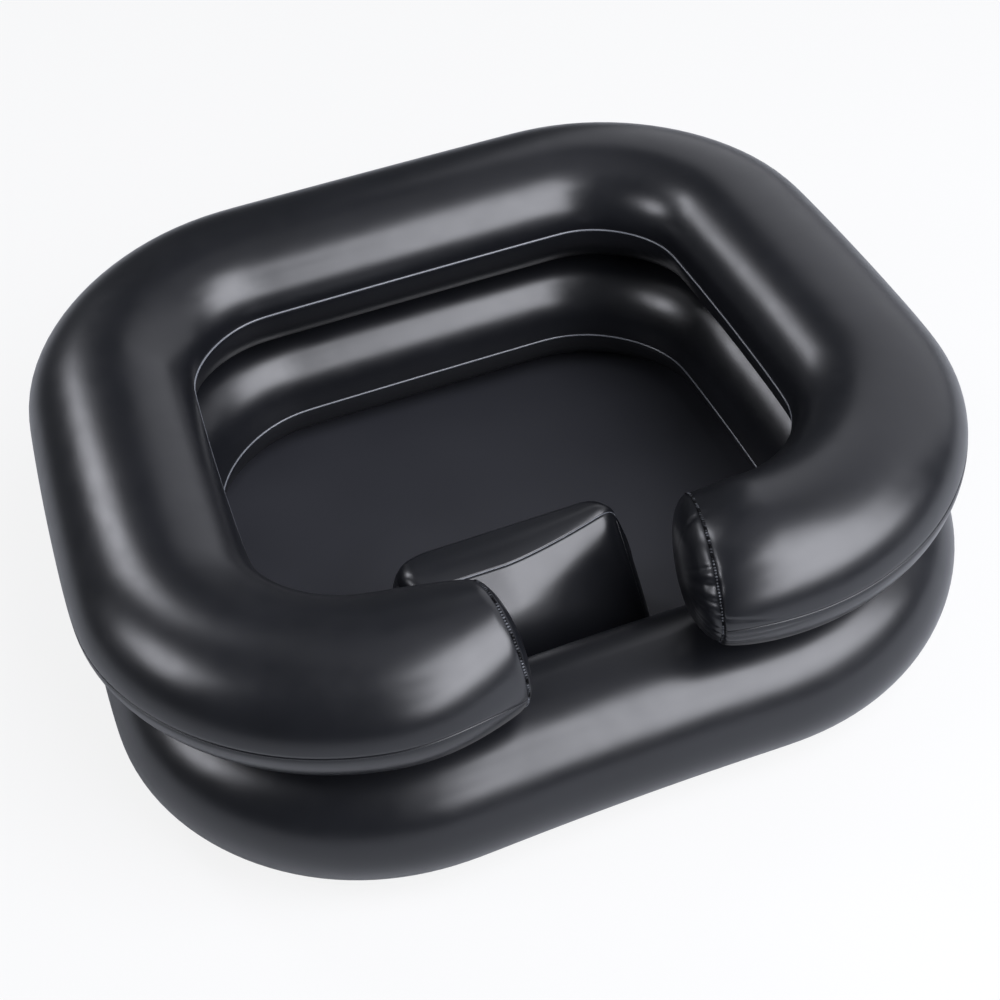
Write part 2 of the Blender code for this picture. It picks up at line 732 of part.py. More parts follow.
def build():
    clear_scene()
    upper_ring_top_sheet()
    upper_bottom = upper_ring_bottom_sheet()
    tube_end_panel("upper_ring_right_end_panel", 0)
    tube_end_panel("upper_ring_left_end_panel", -1)
    lower_top = lower_ring_top_sheet()
    lower_ring_bottom_sheet()
    floor_sheet()
    rest_panel("headrest_front_panel", rest_front_section())
    rest_back = rest_panel("headrest_back_panel", rest_back_section())
    rest_gusset("headrest_left_gusset", -1)
    rest_gusset("headrest_right_gusset", 1)
    rest_base_panel()
    upper_points, upper_directions = upper_centre_line()
    upper_place, upper_axis = ring_valve_place(upper_points, upper_directions, UPPER_VALVE_BEARING,
                                               UPPER_VALVE_ANGLE, upper_sizes(), UPPER_CENTRE_HEIGHT)
    valve("upper_ring", upper_bottom, upper_place, upper_axis)
    lower_points, lower_directions = lower_centre_line()
    lower_place, lower_axis = ring_valve_place(lower_points, lower_directions, LOWER_VALVE_BEARING,
                                               LOWER_VALVE_ANGLE, lower_sizes(), lower_centre_height())
    valve("lower_ring", lower_top, lower_place, lower_axis)
    valve("headrest", rest_back, *rest_valve_place())
    drain_socket()
    drain_plug()


build()
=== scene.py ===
"""Portable inflatable hair-washing basin in satin black vinyl, dressed over its CAD parts."""

import json
import math

import bmesh
import bpy
from mathutils import Matrix, Vector, noise
from mathutils.bvhtree import BVHTree


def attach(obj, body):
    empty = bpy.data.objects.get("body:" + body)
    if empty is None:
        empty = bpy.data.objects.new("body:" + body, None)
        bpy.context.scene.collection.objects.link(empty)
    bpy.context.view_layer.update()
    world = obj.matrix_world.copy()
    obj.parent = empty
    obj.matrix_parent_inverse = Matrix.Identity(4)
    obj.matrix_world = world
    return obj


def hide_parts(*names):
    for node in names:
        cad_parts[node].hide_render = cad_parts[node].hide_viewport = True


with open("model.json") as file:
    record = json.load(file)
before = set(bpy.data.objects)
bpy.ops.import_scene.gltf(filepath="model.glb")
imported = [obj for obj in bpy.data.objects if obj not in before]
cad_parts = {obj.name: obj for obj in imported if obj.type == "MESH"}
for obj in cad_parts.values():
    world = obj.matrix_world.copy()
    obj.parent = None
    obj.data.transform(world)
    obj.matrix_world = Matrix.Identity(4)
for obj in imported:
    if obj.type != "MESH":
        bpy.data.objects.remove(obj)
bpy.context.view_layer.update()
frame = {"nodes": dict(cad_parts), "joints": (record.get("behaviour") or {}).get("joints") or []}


# Lower air ring
# Two ring-shaped cuts of PVC film, welded to each other along an inner and an outer line and
# blown up tight. Air pressure bows its sides, and each weld draws the film in and leaves a bead.

FILM_WALL = 0.0006
WELD_TUCK = 0.0007
WELD_TUCK_WIDTH = 0.0026
FILM_JOIN = 0.00002
WELD_BEAD = 0.0009
FINE_BEAD = 0.0006
BEAD_SIDES = 8
BEAD_JOIN = 0.00004
VINYL_IOR = 1.53
WIDEST_PLACE = -0.0522
SIDE_BOW = 0.0139
FRONT_BOW = 0.0099
BACK_BOW = 0.0018
CORNER_STEPS = 96
SIDE_STEPS = 80
SMOOTHINGS = 30
RUN_REACH = 0.004

LOWER_HALF_LENGTH = 0.2512
LOWER_FRONT = 0.2430
LOWER_BACK = 0.2337
LOWER_FRONT_CORNER = 0.1351
LOWER_BACK_CORNER = 0.1432
LOWER_CENTRE_HEIGHT = 0.0517
LOWER_SECTION = (0.0594, 0.05345, 0.006, 0.0504, 0.012)
LOWER_OUTER_WELD = -52.0
LOWER_INNER_WELD = 187.7
LOWER_STEPS = 260
LOWER_COLUMNS = (100, 44)
LOWER_EASE = 0.85
VALVE_HOLE = 0.0053
PLUG_DEPTH = 0.0060


def colour(code):
    """A colour written as an sRGB hex code, as the linear values that shaders take."""
    linear = []
    for start in (1, 3, 5):
        level = int(code[start:start + 2], 16) / 255
        linear.append(level / 12.92 if level <= 0.04045 else ((level + 0.055) / 1.055) ** 2.4)
    return (*linear, 1.0)


def node(tree, kind, inputs=(), **settings):
    """Add a node with its settings; an output socket given as an input is linked to it."""
    made = tree.nodes.new(kind)
    for name, value in settings.items():
        setattr(made, name, value)
    for name, value in dict(inputs).items():
        if isinstance(value, bpy.types.NodeSocket):
            tree.links.new(value, made.inputs[name])
        else:
            made.inputs[name].default_value = value
    return made


def vinyl(name):
    """A new vinyl material, with its node tree, its shader and its object coordinates."""
    material = bpy.data.materials.new(name)
    material.use_nodes = True
    tree = material.node_tree
    shader = tree.nodes["Principled BSDF"]
    shader.inputs["IOR"].default_value = VINYL_IOR
    shader.inputs["Metallic"].default_value = 0.0
    return material, tree, shader, node(tree, "ShaderNodeTexCoord").outputs["Object"]


def toned(tree, shader, share, dark, light):
    """Let a shader's base colour run between two tones by a share."""
    tone = node(tree, "ShaderNodeMix", {"Factor": share, "A": colour(dark), "B": colour(light)},
                data_type="RGBA")
    tree.links.new(tone.outputs["Result"], shader.inputs["Base Color"])


def ranged(tree, target, value, low, high, start=0.0, end=1.0):
    """Let a shader's input run from low to high while a value goes from its start to its end."""
    run = node(tree, "ShaderNodeMapRange", {"Value": value, "From Min": start, "From Max": end,
                                            "To Min": low, "To Max": high})
    tree.links.new(run.outputs["Result"], target)


def satin_calendered_pvc():
    """Calendered PVC film with a satin face: near black, with broad soft highlights.

    The rollers leave an even microscopic grain and slow changes in gloss, and the stretched
    film is very slightly uneven, which keeps long highlights from looking ruled.
    """
    material, tree, shader, place = vinyl("satin_calendered_pvc")
    cloudy = node(tree, "ShaderNodeTexNoise", {"Vector": place, "Scale": 1 / 0.055, "Detail": 3.0,
                                               "Roughness": 0.45})
    toned(tree, shader, cloudy.outputs["Fac"], "#0d0e11", "#131418")
    handled = node(tree, "ShaderNodeTexNoise", {"Vector": place, "Scale": 1 / 0.022, "Detail": 5.0,
                                                "Roughness": 0.6})
    ranged(tree, shader.inputs["Roughness"], handled.outputs["Fac"], 0.28, 0.33, 0.3, 0.7)
    # The real grain is about 0.1 mm; it is drawn at 0.5 mm so that it shows at all.
    grain = node(tree, "ShaderNodeTexNoise", {"Vector": place, "Scale": 1 / 0.0005, "Detail": 2.0})
    stretched = node(tree, "ShaderNodeTexNoise", {"Vector": place, "Scale": 1 / 0.030,
                                                  "Detail": 1.0})
    fine = node(tree, "ShaderNodeBump", {"Height": grain.outputs["Fac"], "Strength": 0.02,
                                         "Distance": 0.0001})
    slow = node(tree, "ShaderNodeBump", {"Height": stretched.outputs["Fac"], "Strength": 0.10,
                                         "Distance": 0.002, "Normal": fine.outputs["Normal"]})
    tree.links.new(slow.outputs["Normal"], shader.inputs["Normal"])
    return material


def welded_pvc_painted_highlight():
    """PVC melted under a hot bar: a thin bead, smoother than the film; its pale grey tone is a
    painted highlight for the light the bead catches.
    """
    material, tree, shader, place = vinyl("welded_pvc_painted_highlight")
    # The bar's knurl is about 1 mm, and shows as small changes in tone along the bead.
    knurl = node(tree, "ShaderNodeTexNoise", {"Vector": place, "Scale": 1 / 0.0012, "Detail": 2.0})
    # Both tones are mid greys, a painted highlight along the black bead.
    toned(tree, shader, knurl.outputs["Fac"], "#55575c", "#74777d")
    ranged(tree, shader.inputs["Roughness"], knurl.outputs["Fac"], 0.24, 0.36)
    return material


def rounded_outline(half_length, front, back, front_corner, back_corner):
    """Points anticlockwise round a rectangle whose rounded corners are eased into its sides."""
    form = bmesh.new()
    bmesh.ops.create_grid(form, x_segments=1, y_segments=1, size=1.0)
    bmesh.ops.scale(form, vec=(half_length, (front + back) / 2, 1), verts=form.verts)
    bmesh.ops.translate(form, vec=(0, (back - front) / 2, 0), verts=form.verts)
    for side, radius in ((-front, front_corner), (back, back_corner)):
        corners = [vert for vert in form.verts if abs(vert.co.y - side) < 1e-5]
        bmesh.ops.bevel(form, geom=corners, offset=radius, offset_type="OFFSET", affect="VERTICES",
                        segments=CORNER_STEPS, profile=0.5, material=-1)
    sides = [edge for edge in form.edges if edge.calc_length() > 0.01]
    bmesh.ops.subdivide_edges(form, edges=sides, cuts=SIDE_STEPS)
    for _ in range(SMOOTHINGS):
        bmesh.ops.smooth_vert(form, verts=form.verts, factor=0.5, use_axis_x=True, use_axis_y=True,
                              use_axis_z=True)
    form.faces.ensure_lookup_table()
    points = [loop.vert.co.copy() for loop in form.faces[0].loops]
    form.free()
    return points


def bowed(point, half_length, front, back):
    """A point of the plain outline as air pressure pushes it, furthest at each side's middle."""
    along = max(-1.0, min(1.0, point.x / half_length))
    reach = back if point.y > WIDEST_PLACE else front
    across = max(-1.0, min(1.0, (point.y - WIDEST_PLACE) / reach))
    end_bow = BACK_BOW if point.y > WIDEST_PLACE else FRONT_BOW
    return point + Vector((SIDE_BOW * along ** 3 * (1 - across ** 2),
                           end_bow * abs(across) ** 3 * (1 - along ** 2), 0))


def eased(share, ease):
    """A share from 0 to 1 that moves slowly near both ends, so that steps lie closer there."""
    return share - ease * math.sin(math.tau * share) / math.tau


def along_line(points, distance):
    """The point at a distance along a line given as (distance, point) pairs."""
    low, high = 0, len(points) - 1
    while high - low > 1:
        middle = (low + high) // 2
        if points[middle][0] <= distance:
            low = middle
        else:
            high = middle
    (before, start), (after, end) = points[low], points[high]
    return start.lerp(end, (distance - before) / (after - before))


def ring_stations(points, closed, count, ease):
    """Stations on a centre line: each a distance, a place and the way out of the basin."""
    line = [(0.0, points[0])]
    for point in points[1:] + (points[:1] if closed else []):
        line.append((line[-1][0] + (point - line[-1][1]).length, point))
    total = line[-1][0]
    stations = []
    for step in range(count + 1):
        distance = total * eased(step / count, ease)
        before, after = distance - RUN_REACH, distance + RUN_REACH
        if closed:
            before, after = before % total, after % total
        else:
            before, after = max(before, 0.0), min(after, total)
        run = (along_line(line, after) - along_line(line, before)).normalized()
        stations.append((distance, along_line(line, distance), Vector((run.y, -run.x, 0))))
    return stations


def tube_section(turn, half_width, rise, top_band, drop, foot_band):
    """A point of a tube's section at an angle from its outer side: how far out and how high."""
    angle = math.radians(turn)
    over = math.sin(angle) >= 0
    side = 1 if math.cos(angle) >= 0 else -1
    band = top_band if over else foot_band
    out = side * band + (half_width - band) * math.cos(angle)
    return out, (rise if over else drop) * math.sin(angle)


def tucked(turn, welds, radius):
    """The share of the tube's reach that is left near a weld, which draws the film in."""
    kept = 1.0
    for weld in welds:
        apart = math.radians((turn - weld + 180) % 360 - 180) * radius / WELD_TUCK_WIDTH
        kept -= WELD_TUCK / radius * math.exp(-apart * apart)
    return kept


def lower_point(station, turn):
    """A point of the lower ring's film at a station and an angle round the tube."""
    distance, place, outward = station
    reach, level = tube_section(turn, *LOWER_SECTION)
    kept = tucked(turn, (LOWER_OUTER_WELD, LOWER_INNER_WELD), LOWER_SECTION[0])
    return place + outward * reach * kept + Vector((0, 0, LOWER_CENTRE_HEIGHT + level * kept))


def pulled_film(rows, columns, place):
    """A flat grid of film with each crossing moved to its place, joined where its edges meet."""
    form = bmesh.new()
    bmesh.ops.create_grid(form, x_segments=rows, y_segments=columns, size=0.5)
    for vert in form.verts:
        row = round((vert.co.x + 0.5) * rows)
        column = round((vert.co.y + 0.5) * columns)
        vert.co = place(row, column)
    bmesh.ops.remove_doubles(form, verts=form.verts, dist=FILM_JOIN)
    return form


def finished(name, form, material, stands_for=(), wall=0.0):
    """Turn a bmesh into a smooth piece that rides on the basin, with a film wall if it has one."""
    mesh = bpy.data.meshes.new(name)
    form.to_mesh(mesh)
    form.free()
    mesh.shade_smooth()
    made = bpy.data.objects.new(name, mesh)
    made.data.materials.append(material)
    bpy.context.scene.collection.objects.link(made)
    if wall:
        solid = made.modifiers.new("film wall", "SOLIDIFY")
        solid.thickness = wall
        solid.offset = -1.0
    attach(made, "basin")
    if stands_for:
        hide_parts(*stands_for)
    return made


def drawn_bead(frames, closed):
    """A round of one metre drawn through a list of frames, each of which carries its own size."""
    form = bmesh.new()
    ring = bmesh.ops.create_circle(form, segments=BEAD_SIDES, radius=1.0)["verts"]
    bmesh.ops.rotate(form, matrix=Matrix.Rotation(math.pi / 2, 3, "X"), verts=ring)
    bmesh.ops.transform(form, matrix=frames[0], verts=ring)
    edges = form.edges[:]
    for before, after in zip(frames, frames[1:]):
        drawn = bmesh.ops.extrude_edge_only(form, edges=edges)["geom"]
        moved = [part for part in drawn if isinstance(part, bmesh.types.BMVert)]
        bmesh.ops.transform(form, matrix=after @ before.inverted(), verts=moved)
        fresh = set(moved)
        edges = [part for part in drawn if isinstance(part, bmesh.types.BMEdge)
                 and fresh.issuperset(part.verts)]
    if closed:
        bmesh.ops.remove_doubles(form, verts=form.verts, dist=BEAD_JOIN)
    else:
        bmesh.ops.holes_fill(form, edges=[edge for edge in form.edges if edge.is_boundary])
    bmesh.ops.recalc_face_normals(form, faces=form.faces)
    return form


def bead_frame(place, across, along, size_across, size_up):
    """A frame at a place, X across and Y along, whose scale gives the bead its half widths."""
    up = across.cross(along).normalized()
    sideways = along.cross(up).normalized()
    turned = Matrix((sideways * size_across, along, up * size_up)).transposed().to_4x4()
    return Matrix.Translation(place) @ turned


def weld_bead(stations, point, turn, closed, size=WELD_BEAD):
    """The bead that a long weld leaves, round a ring at one angle of its tube."""
    frames = []
    for station in stations:
        distance, place, outward = station
        along = Vector((-outward.y, outward.x, 0))
        frames.append(bead_frame(point(station, turn(distance)), outward, along, size, size))
    return drawn_bead(frames, closed)


def valve_place(name):
    """Where a valve's axis meets its film, and the way the valve faces, from its packed plug."""
    axis = Vector(next(joint["axis"] for joint in frame["joints"]
                       if joint["name"] == name + "_valve_plug_pull")).normalized()
    points = [vert.co for vert in frame["nodes"][name + "_valve_plug"].data.vertices]
    across = axis.cross(Vector((0, 0, 1))).normalized()
    place = axis * (min(point.dot(axis) for point in points) + PLUG_DEPTH)
    for way in (across, across.cross(axis)):
        reaches = [point.dot(way) for point in points]
        place += way * (min(reaches) + max(reaches)) / 2
    return place, axis


def pierced(form, place, axis, radius):
    """Punch a round hole through a film's grid and draw the crossings round it onto its edge."""
    def spoke(point):
        return point - place - axis * (point - place).dot(axis)
    near = [face for face in form.faces
            if (face.calc_center_median() - place).length < radius * 2]
    gone = [face for face in near if spoke(face.calc_center_median()).length < radius]
    rim = {vert for face in gone for vert in face.verts}
    bmesh.ops.delete(form, geom=gone, context="FACES")
    for vert in rim:
        if vert.is_valid and vert.link_faces:
            away = spoke(vert.co)
            vert.co += away.normalized() * (radius - away.length)
    return form


satin_film = satin_calendered_pvc()
welded_highlight_film = welded_pvc_painted_highlight()

lower_outline = rounded_outline(LOWER_HALF_LENGTH, LOWER_FRONT, LOWER_BACK, LOWER_FRONT_CORNER,
                                LOWER_BACK_CORNER)
lower_line = [bowed(point, LOWER_HALF_LENGTH, LOWER_FRONT + WIDEST_PLACE,
                    LOWER_BACK - WIDEST_PLACE) for point in lower_outline]
lower_stations = ring_stations(lower_line, True, LOWER_STEPS, 0.0)


def lower_film(start, end, columns):
    """The film of the lower ring between two angles round its tube."""
    def place(row, column):
        turn = start + (end - start) * eased(column / columns, LOWER_EASE)
        return lower_point(lower_stations[row % LOWER_STEPS], turn)
    return pulled_film(LOWER_STEPS, columns, place)


lower_top_form = pierced(lower_film(LOWER_OUTER_WELD, LOWER_INNER_WELD, LOWER_COLUMNS[0]),
                         *valve_place("lower_ring"), VALVE_HOLE)
lower_top = finished("lower_ring_top", lower_top_form, satin_film, ["lower_ring_top_sheet"],
                     FILM_WALL)
lower_bottom_form = lower_film(LOWER_INNER_WELD - 360, LOWER_OUTER_WELD, LOWER_COLUMNS[1])
lower_bottom = finished("lower_ring_bottom", lower_bottom_form, satin_film,
                        ["lower_ring_bottom_sheet"], FILM_WALL)
finished("lower_ring_inner_weld",
         weld_bead(lower_stations, lower_point, lambda distance: LOWER_INNER_WELD, True),
         welded_highlight_film)
finished("lower_ring_outer_weld",
         weld_bead(lower_stations, lower_point, lambda distance: LOWER_OUTER_WELD, True,
                   FINE_BEAD),
         satin_film)


# Floor sheet
# One piece of thicker PVC sheet, welded flat under the lower ring, with a round hole for the
# drain. It has a duller face than the rings and lies almost flat.

FLOOR_WALL = 0.0010
FLOOR_BAND = 0.012
DRAIN_PLACE = Vector((-0.1400, -0.1280, 0))
DRAIN_HOLE = 0.0109
FLOOR_RISE = 0.0006
FLOOR_RIPPLE = 0.07
FLOOR_COLUMNS = 40
FLOOR_SPREAD = 1.4


def matt_pvc_sheet():
    """Thick calendered PVC sheet with a matt face, which takes light evenly and hardly mirrors."""
    material, tree, shader, place = vinyl("matt_pvc_sheet")
    cloudy = node(tree, "ShaderNodeTexNoise", {"Vector": place, "Scale": 1 / 0.080, "Detail": 2.0})
    toned(tree, shader, cloudy.outputs["Fac"], "#212227", "#27282d")
    ranged(tree, shader.inputs["Roughness"], cloudy.outputs["Fac"], 0.50, 0.58)
    # The leather-like grain is about 0.4 mm, drawn at 0.8 mm so that it shows in close views.
    grain = node(tree, "ShaderNodeTexVoronoi", {"Vector": place, "Scale": 1 / 0.0008},
                 feature="SMOOTH_F1")
    bump = node(tree, "ShaderNodeBump", {"Height": grain.outputs["Distance"], "Strength": 0.10,
                                         "Distance": 0.0002})
    tree.links.new(bump.outputs["Normal"], shader.inputs["Normal"])
    return material


def floor_place(row, column):
    """A point between the drain's hole and the rim, on a floor that lies not quite flat."""
    distance, place, outward = lower_stations[row % LOWER_STEPS]
    rim = place + outward * FLOOR_BAND
    hole = (rim - DRAIN_PLACE).normalized() * DRAIN_HOLE + DRAIN_PLACE
    point = hole.lerp(rim, (column / FLOOR_COLUMNS) ** FLOOR_SPREAD)
    inside = math.sin(math.pi * column / FLOOR_COLUMNS) ** 2
    ripple = noise.noise(point / FLOOR_RIPPLE) * FLOOR_RISE * inside
    return point + Vector((0, 0, FLOOR_WALL + max(0.0, ripple)))


floor_form = pulled_film(LOWER_STEPS, FLOOR_COLUMNS, floor_place)
bmesh.ops.recalc_face_normals(floor_form, faces=floor_form.faces)
if sum(face.normal.z for face in floor_form.faces) < 0:
    bmesh.ops.reverse_faces(floor_form, faces=floor_form.faces)
floor = finished("basin_floor", floor_form, matt_pvc_sheet(), ["floor_sheet"], FLOOR_WALL)


# Upper air ring
# A second pair of cuts, open at the front so that a neck can rest in the gap. It is welded to the
# lower ring along a band, and its tube is drawn in where the end panels close it.

UPPER_HALF_LENGTH = 0.2501
UPPER_FRONT = 0.2360
UPPER_BACK = 0.2277
UPPER_FRONT_CORNER = 0.1396
UPPER_BACK_CORNER = 0.1240
UPPER_CENTRE_HEIGHT = 0.1603
UPPER_SECTION = (0.0619, 0.0486, 0.0, 0.05485, 0.006)
UNDER_FLATNESS = (0.068, 0.025)
UPPER_OUTER_WELD = 4.0
UPPER_INNER_WELD = 181.3
LEFT_WELD_FALL = 16.0
LEFT_WELD_FALL_REACH = 0.055
RIGHT_WELD_FALL = 2.0
RIGHT_WELD_FALL_REACH = 0.030
GAP_RIGHT = 0.0787
GAP_LEFT = -0.0705
GAP_DEPTH = 0.01
RIGHT_LEAN = Vector((-0.218, -1, 0)).normalized()
LEFT_LEAN = Vector((0.11, -1, 0)).normalized()
RIGHT_STUB = 0.0318
LEFT_STUB = 0.0400
RIGHT_PULL_REACH = 0.042
RIGHT_PULLS = (0.010, 0.36, 0.150)
RIGHT_CROWN = 0.45
RIGHT_CROWN_TURN = 75.0
RIGHT_ROUNDING = (0.005, 0.009)
RIGHT_ROUNDING_LOSS = (0.85, 0.5)
RIGHT_TURN_IN = 0.0093
RIGHT_TURN_REACH = 0.120
LEFT_PULL_REACH = 0.078
LEFT_PULLS = (0.29, 0.04, 0.00)
LEFT_ROUNDING = (0.006, 0.010)
LEFT_ROUNDING_LEAST = 0.6
PUCKER_REACH = 0.016
PUCKER = 0.0007
FOLD_REACH = 0.009
RIGHT_FOLDS = ((57.0, 0.0008, 2.2), (44.5, 0.0015, 4.5), (31.0, 0.0009, 3.0),
               (100.0, 0.0007, 3.0))
CREASE_WIDTH = 0.0016
RIGHT_CREASES = ((19.0, 6.0, 0.040, 0.0007), (-6.0, 0.0, 0.050, 0.0008),
                 (-17.0, -9.0, 0.030, 0.0005))
UPPER_STEPS = 280
UPPER_COLUMNS = 120
UPPER_STEP_EASE = 0.75
UPPER_COLUMN_EASE = 0.7
WAVES_ROUND = 3.1
RIGHT_WAVES = Vector((0, 0, 3.0))
LEFT_WAVES = Vector((0, 0, 8.0))


def pull(distance, reach):
    """How strongly an end panel draws the tube in: all at the panel, nothing past its reach."""
    return max(0.0, 1.0 - distance / reach) ** 2


def cut_for_gap(points):
    """The outline without the neck gap, from the gap's right end round to its left end."""
    first = min(range(len(points)),
                key=lambda index: abs(points[index].x) + (points[index].y > 0))
    turned = points[first:] + points[:first]
    kept = [point for point in turned if point.y > GAP_DEPTH - UPPER_FRONT
            or not GAP_LEFT <= point.x <= GAP_RIGHT]
    return [Vector((GAP_RIGHT, -UPPER_FRONT, 0)), *kept, Vector((GAP_LEFT, -UPPER_FRONT, 0))]


upper_outline = rounded_outline(UPPER_HALF_LENGTH, UPPER_FRONT, UPPER_BACK, UPPER_FRONT_CORNER,
                                UPPER_BACK_CORNER)
upper_line = [bowed(point, UPPER_HALF_LENGTH, UPPER_FRONT + WIDEST_PLACE,
                    UPPER_BACK - WIDEST_PLACE) for point in cut_for_gap(upper_outline)]
travelled = 0.0
for before, point in zip([upper_line[0], *upper_line], upper_line):
    travelled += (point - before).length
    point.y += RIGHT_TURN_IN * pull(travelled, RIGHT_TURN_REACH)
upper_stations = ring_stations(upper_line, False, UPPER_STEPS, UPPER_STEP_EASE)
upper_length = upper_stations[-1][0]
for index, (distance, place, outward) in enumerate(upper_stations):
    if distance < RIGHT_STUB:
        outward = RIGHT_LEAN.lerp(outward, distance / RIGHT_STUB).normalized()
    if upper_length - distance < LEFT_STUB:
        outward = LEFT_LEAN.lerp(outward, (upper_length - distance) / LEFT_STUB).normalized()
    upper_stations[index] = (distance, place, outward)


def outer_weld_turn(distance):
    """The outer weld's angle, which drops towards both ends of the ring."""
    return (UPPER_OUTER_WELD - RIGHT_WELD_FALL * pull(distance, RIGHT_WELD_FALL_REACH)
            - LEFT_WELD_FALL * pull(upper_length - distance, LEFT_WELD_FALL_REACH))


def folded(near, turn, right):
    """How deep the folds and gathers beside an end seam are, at a distance from the seam."""
    angle = math.radians(turn)
    spot = Vector((math.cos(angle), math.sin(angle), 0)) * WAVES_ROUND
    wave = noise.noise(spot + (RIGHT_WAVES if right else LEFT_WAVES))
    depth = PUCKER * wave * pull(near, PUCKER_REACH)
    if right:
        for fold, deep, width in RIGHT_FOLDS:
            apart = ((turn - fold + 180) % 360 - 180) / width
            depth += deep * math.exp(-apart * apart) * pull(near, FOLD_REACH)
    return depth


def rounded_in(near, turn, right):
    """How far the film has curved inwards, at a distance from an end seam, towards the dome."""
    reach, radius = RIGHT_ROUNDING if right else LEFT_ROUNDING
    into = max(0.0, reach - near)
    over = math.sin(math.radians(turn))
    if right:
        share = 1 - RIGHT_ROUNDING_LOSS[0 if over > 0 else 1] * over * over
    else:
        share = LEFT_ROUNDING_LEAST + (1 - LEFT_ROUNDING_LEAST) * over * over
    return (radius - math.sqrt(radius * radius - into * into)) * share


def creased(distance, turn):
    """How deep the three creases are that run from the right seam into the outer weld."""
    depth = 0.0
    for start, end, reach, deep in RIGHT_CREASES:
        share = min(1.0, distance / reach)
        angle = (turn - start - (end - start) * share + 180) % 360 - 180
        apart = math.radians(angle) * UPPER_SECTION[0] / CREASE_WIDTH
        depth += deep * math.exp(-apart * apart) * (1 - share)
    return depth


def upper_point(station, turn):
    """A point of the upper ring's film at a station and an angle round the tube."""
    distance, place, outward = station
    right = pull(distance, RIGHT_PULL_REACH)
    left = pull(upper_length - distance, LEFT_PULL_REACH)
    width, rise, drop = (1 - right * r - left * l for r, l in zip(RIGHT_PULLS, LEFT_PULLS))
    crown = (0.5 + 0.5 * math.cos(math.radians(turn - RIGHT_CROWN_TURN))) ** 4
    rise += right * RIGHT_PULLS[1] * RIGHT_CROWN * crown
    reach, level = tube_section(turn, *UPPER_SECTION)
    kept = tucked(turn, (outer_weld_turn(distance), UPPER_INNER_WELD), UPPER_SECTION[0])
    near = min(distance, upper_length - distance)
    at_right = distance < upper_length / 2
    inwards = folded(near, turn, at_right) + rounded_in(near, turn, at_right)
    kept -= (inwards + creased(distance, turn)) / UPPER_SECTION[1]
    if math.sin(math.radians(turn)) < 0:
        flatter = UNDER_FLATNESS[0] if math.cos(math.radians(turn)) > 0 else UNDER_FLATNESS[1]
        kept -= flatter * math.sin(math.radians(2 * turn)) ** 2
    raised = level * (rise if level > 0 else drop) * kept
    lifted = Vector((0, 0, UPPER_CENTRE_HEIGHT + raised))
    return place + outward * reach * width * kept + lifted


def upper_film(over):
    """The film of the upper ring over or under the line of its two welds."""
    def place(row, column):
        station = upper_stations[row]
        outer = outer_weld_turn(station[0])
        start, end = (outer, UPPER_INNER_WELD) if over else (UPPER_INNER_WELD - 360, outer)
        turn = start + (end - start) * eased(column / UPPER_COLUMNS, UPPER_COLUMN_EASE)
        return upper_point(station, turn)
    return pulled_film(UPPER_STEPS, UPPER_COLUMNS, place)


upper_top = finished("upper_ring_top", upper_film(True), satin_film, ["upper_ring_top_sheet"],
                     FILM_WALL)
upper_bottom_form = pierced(upper_film(False), *valve_place("upper_ring"), VALVE_HOLE)
upper_bottom = finished("upper_ring_bottom", upper_bottom_form, satin_film,
                        ["upper_ring_bottom_sheet"], FILM_WALL)
finished("upper_ring_inner_weld",
         weld_bead(upper_stations, upper_point, lambda distance: UPPER_INNER_WELD, False),
         welded_highlight_film)
finished("upper_ring_outer_weld",
         weld_bead(upper_stations, upper_point, outer_weld_turn, False, FINE_BEAD), satin_film)


# End panels of the upper ring
# Each end of the open ring is closed by an oval panel, heat sealed to the tube along a crimped
# seam. Air pushes the panel out into a dome.

END_BULGES = {"right": 0.017, "left": 0.011}
DENT_REACH = 0.007
DENT_DEPTH = 2.2
DOME_POWERS = (2.4, 0.62)
END_GAP = 0.0003
RIM_STEPS = 240
PANEL_STEPS = 36
CRIMP_PITCH = 0.0021
CRIMP_WIDTH = 0.0013
CRIMP_NARROWING = 0.2
CRIMP_HEIGHT = 0.0006
CRIMP_LIFT = 0.00018
CRIMP_STEPS = 6
CRIMP_AHEAD = 0.002
CRIMP_FLOOR = 0.35


def crimped_pvc():
    """A heat-sealed and crimped seam: a near-black pressed line, with a painted glint as a light
    speck on each raised land.

    The seam carries how raised each of its points is, which sets the painted glint's tone and the
    gloss.
    """
    material, tree, shader, place = vinyl("crimped_pvc")
    land = node(tree, "ShaderNodeAttribute", attribute_name="land").outputs["Fac"]
    # A noise scatters the painted glints, so that some lands shine and others stay dim.
    glint_scatter = node(tree, "ShaderNodeTexNoise", {"Vector": place, "Scale": 1 / 0.0045, "Detail": 2.0})
    patchy = node(tree, "ShaderNodeMapRange", {"Value": glint_scatter.outputs["Fac"], "From Min": 0.40,
                                               "From Max": 0.62})
    uneven = node(tree, "ShaderNodeMath", {0: land, 1: patchy.outputs["Result"]},
                  operation="MULTIPLY")
    # Near black in the nips, grey on the raised lands as a painted glint.
    toned(tree, shader, uneven.outputs[0], "#050506", "#6c6f75")
    ranged(tree, shader.inputs["Roughness"], land, 0.70, 0.25)
    ranged(tree, shader.inputs["Specular IOR Level"], uneven.outputs[0], 0.04, 0.40)
    return material


crimped_film = crimped_pvc()


